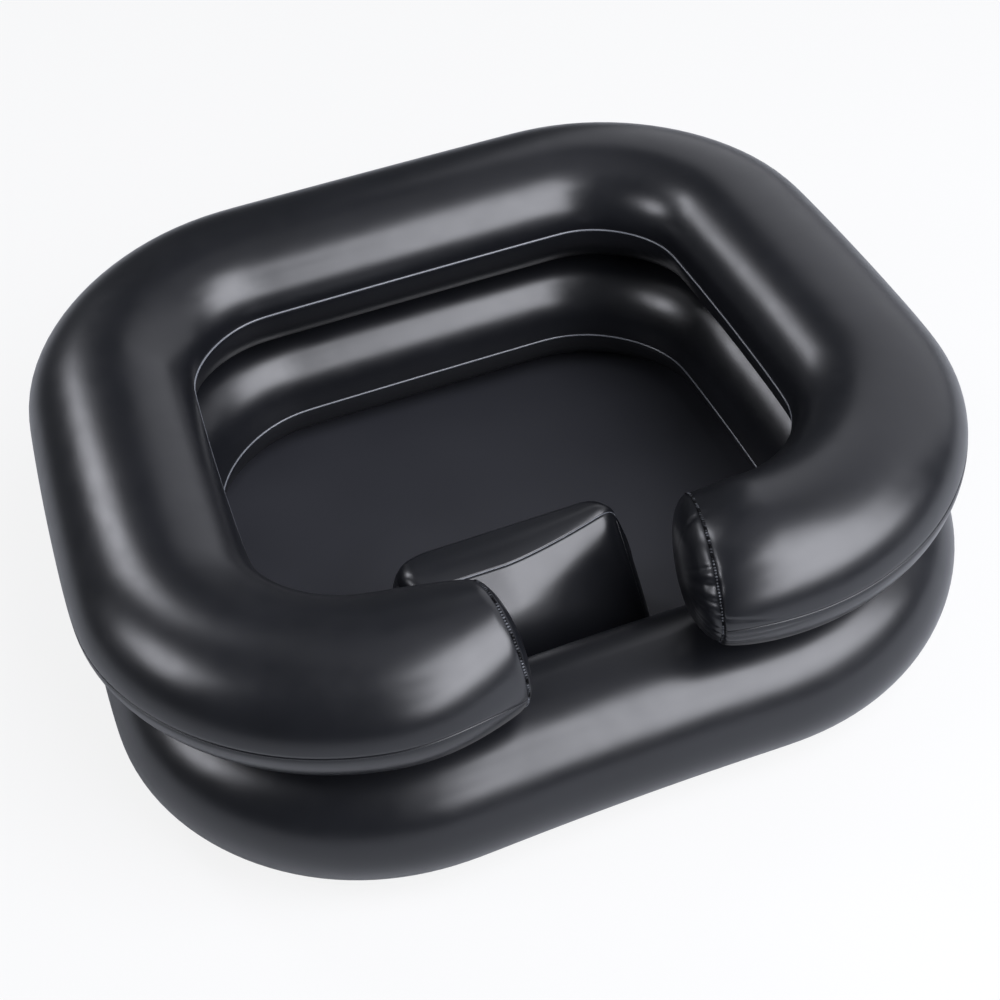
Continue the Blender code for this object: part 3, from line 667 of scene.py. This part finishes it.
def end_panel(side, station, turn):
    """The domed panel at one end with its crimped seam; turn is 1 where the ring starts."""
    distance, place, outward = station
    facing = Vector((outward.y, -outward.x, 0)) * turn
    rim = [upper_point(station, 360 * step / RIM_STEPS) for step in range(RIM_STEPS)]
    centre = sum(rim, Vector()) / len(rim)
    bulge = END_BULGES[side]

    def panel_place(row, column):
        share = math.sin(math.pi / 2 * (1 - column / PANEL_STEPS))
        spoke = rim[row % RIM_STEPS] - centre
        inner = min(1.0, spoke.length * (1 - share) / DENT_REACH)
        dent = folded(0.0, 360 * row / RIM_STEPS, turn > 0) * DENT_DEPTH * inner * (1 - inner)
        dome = bulge * (1 - share ** DOME_POWERS[0]) ** DOME_POWERS[1]
        return centre + spoke * share + facing * (END_GAP + dome - dent)

    form = pulled_film(RIM_STEPS, PANEL_STEPS, panel_place)
    if turn < 0:
        bmesh.ops.reverse_faces(form, faces=form.faces)
    panel = finished(side + "_end_panel", form, satin_film,
                     ["upper_ring_" + side + "_end_panel"], FILM_WALL)

    line = [(0.0, rim[0])]
    for point in rim[1:] + rim[:1]:
        line.append((line[-1][0] + (point - line[-1][1]).length, point))
    length = line[-1][0]
    steps = round(length / CRIMP_PITCH) * CRIMP_STEPS
    frames, lands = [], []
    for step in range(steps + 1):
        here = along_line(line, length * min(step / steps, 0.99999))
        ahead = along_line(line, (length * step / steps + CRIMP_AHEAD) % length)
        lands.append((0.5 + 0.5 * math.cos(math.tau * step / CRIMP_STEPS)) ** 2)
        pressed = CRIMP_FLOOR + (1 - CRIMP_FLOOR) * lands[-1]
        raised = (here - centre).normalized() * CRIMP_LIFT
        width = CRIMP_WIDTH * (1 - CRIMP_NARROWING * (1 - pressed))
        frames.append(bead_frame(here + raised, facing, (ahead - here).normalized(), width,
                                 CRIMP_HEIGHT * pressed))
    seam = finished(side + "_end_seam", drawn_bead(frames, True), crimped_film)
    # Each point's painted glint: its land share times how high it stands on the bead.
    painted_glint = []
    for index, vert in enumerate(seam.data.vertices):
        frame_at = index // BEAD_SIDES
        painted_glint.append(lands[frame_at] * abs((frames[frame_at].inverted() @ vert.co).z))
    seam.data.attributes.new("land", "FLOAT", "POINT").data.foreach_set("value", painted_glint)


end_panel("right", upper_stations[0], 1)
end_panel("left", upper_stations[-1], -1)


# Headrest
# An inflated wedge that stands on the floor behind the gap and carries the back of the head. Its
# front and back panels are welded along the ridge, and a gusset closes each end.

REST_LEFT = -0.1060
REST_RIGHT = 0.0648
REST_FRONT_FOOT = -0.1780
REST_BACK_FOOT = -0.0680
REST_FOOT_HEIGHT = 0.0022
REST_SEAM = -0.1156
REST_SEAM_TURN = 0.0221
REST_SEAM_TURN_FROM = -0.030
REST_SEAM_TURN_POWER = 1.4
REST_SHOULDER = -0.0800
REST_HEIGHT = 0.1056
REST_STEPS = 64
REST_COLUMNS = 60
REST_EASE = 0.7
RIDGE_BEAD = 0.0004
REST_ROUND = 0.014
REST_ROUND_FALL = 0.9
REST_LEFT_PULL = (0.030, 0.016, 0.010)
REST_RIGHT_PULL = (0.022, 0.012)
REST_SLOPE = Vector((0.80, 0.60))
REST_KNEE = 0.0310
REST_KNEE_BLEND = 0.005
REST_KNEE_BLEND_SHARE = 0.3
REST_KNEE_BLEND_LEAST = 0.0001
REST_KNEE_POWERS = (5, 24)
REST_FRONT_SWELL = (0.00332, 0.00224)
REST_TOP_SHARE = 0.35
REST_TOP_CROWN = (0.0025, 0.9)
REST_BACK_CROWN = (0.011, 0.7)
REST_BASE_COLUMNS = 8
GUSSET_STEPS = 14
GUSSET_FOOT_STEPS = 20
GUSSET_BULGE = 0.007
GUSSET_POWER = 2.5


def rest_shape(share):
    """The headrest's section at a share of its length: x, foot, seam, shoulder and back foot."""
    x = REST_LEFT + (REST_RIGHT - REST_LEFT) * share
    turn = max(0.0, (x - REST_SEAM_TURN_FROM) / (REST_RIGHT - REST_SEAM_TURN_FROM))
    seam = REST_SEAM + REST_SEAM_TURN * turn ** REST_SEAM_TURN_POWER
    near_left = pull(x - REST_LEFT, REST_LEFT_PULL[0])
    near_right = pull(REST_RIGHT - x, REST_RIGHT_PULL[0])
    into = REST_ROUND - max(0.0, min(REST_ROUND, x - REST_LEFT, REST_RIGHT - x))
    seam += near_left * REST_LEFT_PULL[1]
    top = REST_HEIGHT - (REST_ROUND - math.sqrt(REST_ROUND ** 2 - into ** 2)) * REST_ROUND_FALL
    shoulder = REST_SHOULDER - REST_LEFT_PULL[2] * near_left - REST_RIGHT_PULL[1] * near_right
    return (x, (REST_FRONT_FOOT, REST_FOOT_HEIGHT), (seam, top), (shoulder, top),
            (REST_BACK_FOOT, REST_FOOT_HEIGHT))


def crowned(start, end, share, crown, skew):
    """A point (y, z) of a side that swells to the left of the way from its start to its end."""
    run = Vector((end[0] - start[0], end[1] - start[1]))
    swell = crown * math.sin(math.pi * share ** skew)
    side = Vector((-run.y, run.x)).normalized()
    return Vector(start) + run * share + side * swell


def rest_front_place(row, column):
    """The front panel: gently sloped under the ridge, then steep, with a soft knee between."""
    share = eased(row / REST_STEPS, REST_EASE)
    x, foot, seam, shoulder, back = rest_shape(share)
    into_right, into_left = REST_KNEE_POWERS
    upper = REST_KNEE * (1 - share ** into_right) * (1 - (1 - share) ** into_left)
    blend = min(REST_KNEE_BLEND, upper * REST_KNEE_BLEND_SHARE) + REST_KNEE_BLEND_LEAST
    knee = Vector(seam) - REST_SLOPE * upper
    steep = knee - Vector(foot)

    def bent(past):
        soft = math.sqrt(past * past + 4 * blend * blend)
        return (past - soft) / 2 * steep.normalized() + (past + soft) / 2 * REST_SLOPE

    along = column / REST_COLUMNS
    past = (steep.length + upper) * along - steep.length
    off_foot = bent(-steep.length) + steep
    off_seam = bent(upper) - REST_SLOPE * upper
    y, z = knee + bent(past) - off_foot * (1 - along) - off_seam * along
    swell = math.sin(math.pi * along)
    return Vector((x, y - swell * REST_FRONT_SWELL[0], z + swell * REST_FRONT_SWELL[1]))


def rest_back_place(row, column):
    """The back panel: a nearly level strip behind the ridge, then the swollen back."""
    x, foot, seam, shoulder, back = rest_shape(eased(row / REST_STEPS, REST_EASE))
    along = column / REST_COLUMNS
    if along < REST_TOP_SHARE:
        y, z = crowned(seam, shoulder, along / REST_TOP_SHARE, *REST_TOP_CROWN)
    else:
        past = (along - REST_TOP_SHARE) / (1 - REST_TOP_SHARE)
        y, z = crowned(shoulder, back, past, *REST_BACK_CROWN)
    return Vector((x, y, z))


def rest_base_place(row, column):
    """The base panel, flat between the two feet."""
    x, foot, seam, shoulder, back = rest_shape(eased(row / REST_STEPS, REST_EASE))
    y = foot[0] + (back[0] - foot[0]) * column / REST_BASE_COLUMNS
    return Vector((x, y, REST_FOOT_HEIGHT))


def rest_gusset(side, row, facing):
    """The gusset that closes one end, domed outwards, with its weld round front and back."""
    rim = [rest_front_place(row, column) for column in range(REST_COLUMNS + 1)]
    rim += [rest_back_place(row, column) for column in range(1, REST_COLUMNS + 1)]
    welded = len(rim)
    rim += [rim[-1].lerp(rim[0], step / GUSSET_FOOT_STEPS) for step in range(1, GUSSET_FOOT_STEPS)]
    centre = sum(rim, Vector()) / len(rim)

    def place(at, column):
        share = math.sin(math.pi / 2 * (1 - column / GUSSET_STEPS))
        dome = GUSSET_BULGE * (1 - share ** GUSSET_POWER)
        return centre + (rim[at % len(rim)] - centre) * share + facing * dome

    form = pulled_film(len(rim), GUSSET_STEPS, place)
    bmesh.ops.recalc_face_normals(form, faces=form.faces)
    if sum(face.normal.dot(facing) for face in form.faces) < 0:
        bmesh.ops.reverse_faces(form, faces=form.faces)
    gusset = finished("rest_" + side + "_gusset", form, satin_film,
                      ["headrest_" + side + "_gusset"], FILM_WALL)
    frames = []
    for before, here, ahead in zip(rim, rim[1:welded], rim[2:]):
        frames.append(bead_frame(here, facing, (ahead - before).normalized(), RIDGE_BEAD,
                                 RIDGE_BEAD))
    finished("rest_" + side + "_gusset_weld", drawn_bead(frames, False), satin_film)


rest_front_form = pulled_film(REST_STEPS, REST_COLUMNS, rest_front_place)
rest_back_form = pierced(pulled_film(REST_STEPS, REST_COLUMNS, rest_back_place),
                         *valve_place("headrest"), VALVE_HOLE)
rest_base_form = pulled_film(REST_STEPS, REST_BASE_COLUMNS, rest_base_place)
bmesh.ops.reverse_faces(rest_base_form, faces=rest_base_form.faces)
rest_front = finished("rest_front", rest_front_form, satin_film, ["headrest_front_panel"],
                      FILM_WALL)
rest_back = finished("rest_back", rest_back_form, satin_film, ["headrest_back_panel"], FILM_WALL)
rest_base = finished("rest_base", rest_base_form, satin_film, ["headrest_base_panel"], FILM_WALL)
rest_gusset("left", 0, Vector((-1, 0, 0)))
rest_gusset("right", REST_STEPS, Vector((1, 0, 0)))
seam_frames = []
for row in range(REST_STEPS + 1):
    here = rest_front_place(row, REST_COLUMNS)
    ahead = rest_front_place(min(row + 1, REST_STEPS), REST_COLUMNS)
    behind = rest_front_place(max(row - 1, 0), REST_COLUMNS)
    seam_frames.append(bead_frame(here, Vector((0, -1, 0)), (ahead - behind).normalized(),
                                  RIDGE_BEAD, RIDGE_BEAD))
finished("rest_ridge_weld", drawn_bead(seam_frames, False), welded_highlight_film)


# Inflation valves
# Each is a mouth and flange of moulded soft PVC, welded to the film from inside, with a plug that
# is pushed in, a lifting ring under the plug's head and a check flap behind.

VALVE_BORE = 0.0036
VALVE_TUBE = 0.0050
VALVE_DEPTH = 0.0140
VALVE_LIP = 0.0012
VALVE_FLANGE = 0.0092
VALVE_FLANGE_SEAT = 0.0034
VALVE_FLANGE_WALL = 0.0008
PLUG_REACH = 0.0075
PLUG_TAPER = 0.0004
PLUG_HEAD = 0.0078
PLUG_HEAD_WALL = 0.0016
PLUG_DISH = ((1, 0.7), (0.72, 1), (0.55, 0.62), (0, 0.55))
STRAP_INNER = 0.0053
STRAP_OUTER = 0.0073
STRAP_WALL = 0.0005
STRAP_TONGUE = 0.0055
STRAP_TONGUE_WIDTH = 0.0036
STRAP_LAP = 0.0008
VALVE_GAP = 0.0003
VALVE_WELD = 0.0112
ROUND_WELD_BEAD = (0.0009, 0.0004)
VALVE_ROUNDING = 0.0002
PLUG_ROUNDING = 0.00035
STRAP_ROUNDING = 0.00015
ROUND_WELD_STEPS = 72
TURNED_STEPS = 56
TURNED_JOIN = 0.000005
SHARP_RIM = 0.7
SHARP_FOLD = math.radians(50)


def moulded_soft_pvc():
    """Injection-moulded soft PVC: smooth, a little paler than the film, with a faint flow."""
    material, tree, shader, place = vinyl("moulded_soft_pvc")
    flow = node(tree, "ShaderNodeTexNoise", {"Vector": place, "Scale": 1 / 0.006, "Detail": 3.0})
    toned(tree, shader, flow.outputs["Fac"], "#222428", "#2c2e33")
    ranged(tree, shader.inputs["Roughness"], flow.outputs["Fac"], 0.30, 0.42)
    return material


def facing_frame(place, axis):
    """A frame at a place with Z along an axis and Y as nearly up as it can be."""
    level = Vector((0, 0, 1)).cross(axis)
    level = level.normalized() if level.length > 0.01 else Vector((1, 0, 0))
    turned_to = Matrix((level, axis.cross(level), axis)).transposed().to_4x4()
    return Matrix.Translation(place) @ turned_to


def turned(profile, rounding):
    """A moulding spun from a closed profile of radius and height pairs, its rims rounded."""
    form = bmesh.new()
    points = [form.verts.new((radius, 0, height)) for radius, height in profile]
    edges = [form.edges.new(pair) for pair in zip(points, points[1:] + points[:1])]
    bmesh.ops.spin(form, geom=points + edges, cent=(0, 0, 0), axis=(0, 0, 1), angle=math.tau,
                   steps=TURNED_STEPS, use_merge=True)
    bmesh.ops.remove_doubles(form, verts=form.verts, dist=TURNED_JOIN)
    loose = [edge for edge in form.edges if not edge.link_faces]
    bmesh.ops.delete(form, geom=loose, context="EDGES")
    bmesh.ops.recalc_face_normals(form, faces=form.faces)
    rims = [edge for edge in form.edges if edge.is_manifold
            and edge.calc_face_angle() > SHARP_RIM and edge.verts[0].co.xy.length > 0.001]
    bmesh.ops.bevel(form, geom=rims, offset=rounding, offset_type="OFFSET", affect="EDGES",
                    segments=3, profile=0.5, material=-1)
    return form


def moulded_piece(name, form, frame_matrix, body, stands_for):
    """Set a moulding in its place and let it ride on its own body."""
    bmesh.ops.transform(form, matrix=frame_matrix, verts=form.verts)
    made = finished(name, form, moulded, [stands_for])
    made.data.set_sharp_from_angle(angle=SHARP_FOLD)
    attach(made, body)


def weld_round(name, place, axis, radius, film):
    """The ring-shaped weld round a fitting, laid on the film's own face."""
    surface = BVHTree.FromObject(film, bpy.context.evaluated_depsgraph_get())
    across = facing_frame(place, axis).to_3x3()
    frames = []
    for step in range(ROUND_WELD_STEPS + 1):
        angle = math.tau * step / ROUND_WELD_STEPS
        spoke = across @ Vector((math.cos(angle), math.sin(angle), 0))
        run = across @ Vector((-math.sin(angle), math.cos(angle), 0))
        here = surface.find_nearest(place + spoke * radius)[0]
        frames.append(bead_frame(here, spoke, run, *ROUND_WELD_BEAD))
    finished(name, drawn_bead(frames, True), welded_highlight_film)


moulded = moulded_soft_pvc()
valve_films = {"upper_ring": upper_bottom, "lower_ring": lower_top, "headrest": rest_back}
flange_back = -VALVE_FLANGE_SEAT - VALVE_FLANGE_WALL
seat = VALVE_LIP + VALVE_GAP
shank = VALVE_BORE - VALVE_GAP
for name, film in valve_films.items():
    valve_at, valve_axis = valve_place(name)
    stand = facing_frame(valve_at, valve_axis)
    mouth = turned([(VALVE_BORE, -VALVE_DEPTH), (VALVE_TUBE, -VALVE_DEPTH),
                    (VALVE_TUBE, flange_back), (VALVE_FLANGE, flange_back),
                    (VALVE_FLANGE, -VALVE_FLANGE_SEAT), (VALVE_TUBE, -VALVE_FLANGE_SEAT),
                    (VALVE_TUBE, VALVE_LIP), (VALVE_BORE, VALVE_LIP)], VALVE_ROUNDING)
    moulded_piece(name + "_mouth", mouth, stand, "basin", name + "_valve_body")
    dish = [(PLUG_HEAD * out, seat + PLUG_HEAD_WALL * up) for out, up in PLUG_DISH]
    plug = turned([(0, seat - PLUG_REACH), (shank - PLUG_TAPER, seat - PLUG_REACH), (shank, seat),
                   (PLUG_HEAD, seat), *dish], PLUG_ROUNDING)
    moulded_piece(name + "_plug", plug, stand, name + "_valve_plug", name + "_valve_plug")
    strap = turned([(STRAP_INNER, 0), (STRAP_OUTER, 0), (STRAP_OUTER, STRAP_WALL),
                    (STRAP_INNER, STRAP_WALL)], STRAP_ROUNDING)
    tongue = bmesh.ops.create_grid(strap, x_segments=6, y_segments=4, size=0.5)["verts"]
    bmesh.ops.scale(strap, vec=(STRAP_TONGUE, STRAP_TONGUE_WIDTH, 1), verts=tongue)
    bmesh.ops.translate(strap, vec=(STRAP_OUTER + STRAP_TONGUE / 2 - STRAP_LAP, 0, 0),
                        verts=tongue)
    tongue_faces = [face for face in strap.faces if face.verts[0] in tongue]
    raised = bmesh.ops.extrude_face_region(strap, geom=tongue_faces)["geom"]
    bmesh.ops.translate(strap, vec=(0, 0, STRAP_WALL),
                        verts=[part for part in raised if isinstance(part, bmesh.types.BMVert)])
    bmesh.ops.recalc_face_normals(strap, faces=strap.faces)
    moulded_piece(name + "_lifting_ring", strap, stand @ Matrix.Translation((0, 0, VALVE_GAP)),
                  "basin", name + "_valve_strap")
    weld_round(name + "_valve_weld", valve_at, valve_axis, VALVE_WELD, film)
    flap = frame["nodes"][name + "_valve_flap"]
    flap.data.materials.clear()
    flap.data.materials.append(moulded)


# Drain
# A moulded socket welded into the floor beside the headrest, closed by a plug with a knob.

DRAIN_BORE = 0.0090
DRAIN_TUBE = 0.0106
DRAIN_FLANGE = 0.0180
DRAIN_FOOT = 0.0013
DRAIN_FLANGE_TOP = 0.0023
DRAIN_RIM = 0.0063
DRAIN_REACH = 0.0045
DRAIN_TAPER = 0.0007
DRAIN_HEAD = 0.0130
DRAIN_HEAD_WALL = 0.0020
DRAIN_KNOB = 0.0050
DRAIN_KNOB_HEIGHTS = (0.0040, 0.0046, 0.0072, 0.0080)
DRAIN_ROUNDING = 0.00025
DRAIN_PLUG_ROUNDING = 0.0004
DRAIN_WELD = 0.0202

socket_form = turned([(DRAIN_BORE, 0), (DRAIN_TUBE, 0), (DRAIN_TUBE, DRAIN_FOOT),
                      (DRAIN_FLANGE, DRAIN_FOOT), (DRAIN_FLANGE, DRAIN_FLANGE_TOP),
                      (DRAIN_TUBE, DRAIN_FLANGE_TOP), (DRAIN_TUBE, DRAIN_RIM),
                      (DRAIN_BORE, DRAIN_RIM)], DRAIN_ROUNDING)
moulded_piece("drain_mouth", socket_form, Matrix.Translation(DRAIN_PLACE), "basin",
              "drain_socket")
head = DRAIN_RIM + VALVE_GAP
neck, under, over, crown = (head + height for height in DRAIN_KNOB_HEIGHTS)
plug_form = turned([(0, head - DRAIN_REACH), (DRAIN_BORE - DRAIN_TAPER, head - DRAIN_REACH),
                    (DRAIN_BORE - VALVE_GAP, head), (DRAIN_HEAD, head),
                    (DRAIN_HEAD, head + DRAIN_HEAD_WALL), (DRAIN_KNOB / 2, head + DRAIN_HEAD_WALL),
                    (DRAIN_KNOB / 2, neck), (DRAIN_KNOB, under), (DRAIN_KNOB, over),
                    (DRAIN_KNOB * 0.7, crown), (0, crown)], DRAIN_PLUG_ROUNDING)
moulded_piece("drain_stopper", plug_form, Matrix.Translation(DRAIN_PLACE), "drain_plug",
              "drain_plug")
weld_round("drain_weld", DRAIN_PLACE + Vector((0, 0, FLOOR_WALL * 3)), Vector((0, 0, 1)),
           DRAIN_WELD, floor)


# Studio floor and backdrop
# A white table that runs out of view. It takes the basin's shadow, and is white to the camera.

TABLE_REACH = 6.0
WHITENING = 0.85


def white_studio_surface():
    """Matt pale board, lifted to white for the camera alone, so that a faint shadow is left."""
    material = bpy.data.materials.new("white_studio_surface")
    material.use_nodes = True
    tree = material.node_tree
    shader = tree.nodes["Principled BSDF"]
    shader.inputs["Base Color"].default_value = colour("#b8babd")
    shader.inputs["Roughness"].default_value = 0.9
    output = tree.nodes["Material Output"]
    glow = node(tree, "ShaderNodeEmission", {"Strength": 1.0})
    path = node(tree, "ShaderNodeLightPath")
    share = node(tree, "ShaderNodeMath", {0: path.outputs["Is Camera Ray"], 1: WHITENING},
                 operation="MULTIPLY")
    mixed = node(tree, "ShaderNodeMixShader", {0: share.outputs[0], 1: shader.outputs[0],
                                               2: glow.outputs[0]})
    tree.links.new(mixed.outputs[0], output.inputs["Surface"])
    return material


table_form = bmesh.new()
bmesh.ops.create_grid(table_form, x_segments=1, y_segments=1, size=TABLE_REACH)
table_mesh = bpy.data.meshes.new("studio_table")
table_form.to_mesh(table_mesh)
table_form.free()
table = bpy.data.objects.new("studio_table", table_mesh)
table.data.materials.append(white_studio_surface())
bpy.context.scene.collection.objects.link(table)

world = bpy.data.worlds.new("studio")
bpy.context.scene.world = world
world.use_nodes = True
sky = world.node_tree
room = sky.nodes["Background"]
room.inputs["Color"].default_value = colour("#8d9196")
room.inputs["Strength"].default_value = 0.25
white = node(sky, "ShaderNodeBackground", {"Color": colour("#ffffff"), "Strength": 1.0})
path = node(sky, "ShaderNodeLightPath")
both = node(sky, "ShaderNodeMixShader", {0: path.outputs["Is Camera Ray"], 1: room.outputs[0],
                                         2: white.outputs[0]})
sky.links.new(both.outputs[0], sky.nodes["World Output"].inputs["Surface"])


# Lights
# Soft boxes hung round the table, each at a bearing and height from which its long soft reflection
# falls where the tubes show it: a key of three stacked boxes at the front right, two small ones at
# the back and the left, a broad dim one down the right side and a faint one overhead.

LIGHT_DISTANCE = 2.2
AIM_HEIGHT = 0.1


def soft_box(name, bearing, height, width, tall, watts):
    """A rectangular soft box that faces the basin from a bearing and a height, both in degrees."""
    lamp = bpy.data.lights.new(name, "AREA")
    lamp.shape = "RECTANGLE"
    lamp.size = width
    lamp.size_y = tall
    lamp.energy = watts
    lamp.color = colour("#f6f7ff")[:3]
    made = bpy.data.objects.new(name, lamp)
    turn, rise = math.radians(bearing), math.radians(height)
    way = Vector((math.cos(turn) * math.cos(rise), math.sin(turn) * math.cos(rise),
                  math.sin(rise)))
    made.location = way * LIGHT_DISTANCE + Vector((0, 0, AIM_HEIGHT))
    made.rotation_euler = way.to_track_quat("Z", "Y").to_euler()
    bpy.context.scene.collection.objects.link(made)


soft_box("key_low_box", 303, 29, 2.40, 0.62, 42)
soft_box("key_middle_box", 308, 46, 1.95, 0.72, 39)
soft_box("key_top_box", 311, 64, 1.20, 0.75, 25)
soft_box("rear_box", 124, 40, 0.42, 0.85, 12)
soft_box("corner_box", 174, 35, 0.70, 0.65, 14)
soft_box("side_box", 33, 28, 2.80, 2.00, 17)
soft_box("top_box", 30, 78, 1.60, 1.60, 3)


# Camera
# It stands in front of the gap, a little to the left, and looks down into the basin.

CAMERA_AZIMUTH = math.radians(-17.5181)
CAMERA_ELEVATION = math.radians(46.777)
CAMERA_ROLL = math.radians(-4.9916)
CAMERA_TARGET = Vector((0.029088, -0.045576, 0.033268))
CAMERA_DISTANCE = 1.26998
SENSOR_WIDTH = 36.0
FOCAL_LENGTH = 58.09
LENS_SHIFT = (-0.0525, 0.0443)

backwards = Vector((math.sin(CAMERA_AZIMUTH) * math.cos(CAMERA_ELEVATION),
                    -math.cos(CAMERA_AZIMUTH) * math.cos(CAMERA_ELEVATION),
                    math.sin(CAMERA_ELEVATION)))
level = Vector((math.cos(CAMERA_AZIMUTH), math.sin(CAMERA_AZIMUTH), 0))
upwards = level.cross(-backwards)
rightwards = level * math.cos(CAMERA_ROLL) + upwards * math.sin(CAMERA_ROLL)
lens = bpy.data.cameras.new("camera")
lens.sensor_width = SENSOR_WIDTH
lens.lens = FOCAL_LENGTH
lens.shift_x, lens.shift_y = LENS_SHIFT
camera = bpy.data.objects.new("camera", lens)
camera.matrix_world = Matrix.Translation(CAMERA_TARGET + backwards * CAMERA_DISTANCE) @ Matrix(
    (rightwards, backwards.cross(rightwards), backwards)).transposed().to_4x4()
bpy.context.scene.collection.objects.link(camera)
bpy.context.scene.camera = camera
bpy.context.scene.view_settings.view_transform = "Standard"
